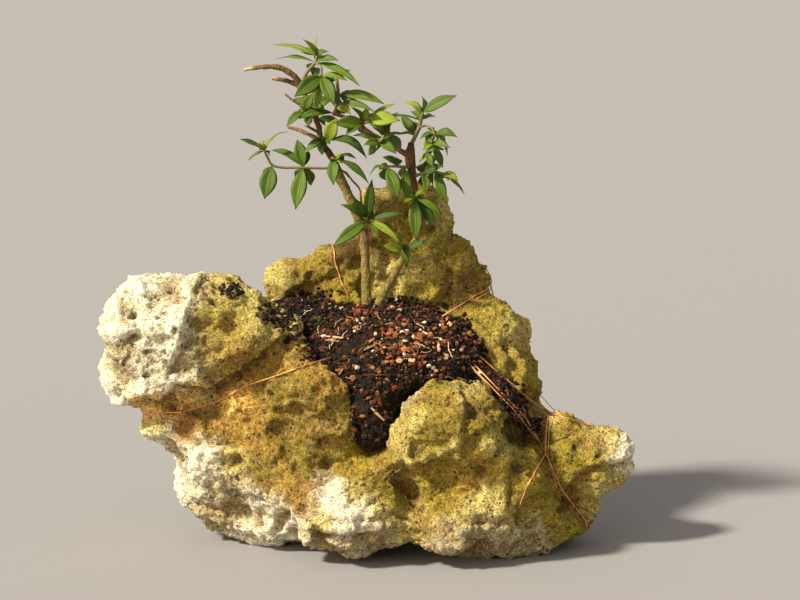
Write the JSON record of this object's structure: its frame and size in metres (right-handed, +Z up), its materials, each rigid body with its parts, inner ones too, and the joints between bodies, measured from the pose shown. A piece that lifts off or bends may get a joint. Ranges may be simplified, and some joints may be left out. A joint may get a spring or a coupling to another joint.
{
  "type": "bonsai on a rock",
  "caption": "Young broad-leaved bonsai with two stems, planted in a soil pocket on top of a craggy, porous limestone rock and held down by thin copper wires.",
  "frame": {"origin": "on the ground, at the middle of the rock's flat underside", "axes": "+Z up, +X to the right as seen from the front, and -Y towards the front, where the soil shows"},
  "size_m": [0.3332, 0.1717, 0.3142],
  "materials": {
    "rock": "rough, pitted stone",
    "soil": "damp crumbs",
    "bark": "raw bark",
    "leaf": "satin leaf",
    "copper": "dull bare wire"
  },
  "bodies": {
    "root": {"rock": "rock", "soil": "soil", "trunk_main": "bark", "trunk_right": "bark", "spray_back_left": "leaf", "spray_bend": "leaf", "spray_branch_back": "leaf", "spray_branch_low": "leaf", "spray_branch_mid": "leaf", "spray_branch_tip": "leaf", "spray_crown_right": "leaf", "spray_elbow": "leaf", "spray_foot": "leaf", "spray_inner": "leaf", "spray_left": "leaf", "spray_right_flank": "leaf", "spray_right_low": "leaf", "spray_top": "leaf", "spray_upper_left": "leaf", "spray_waist": "leaf", "wire_left": "copper", "wire_right_high": "copper", "wire_right_low": "copper"}
  },
  "joints": []
}
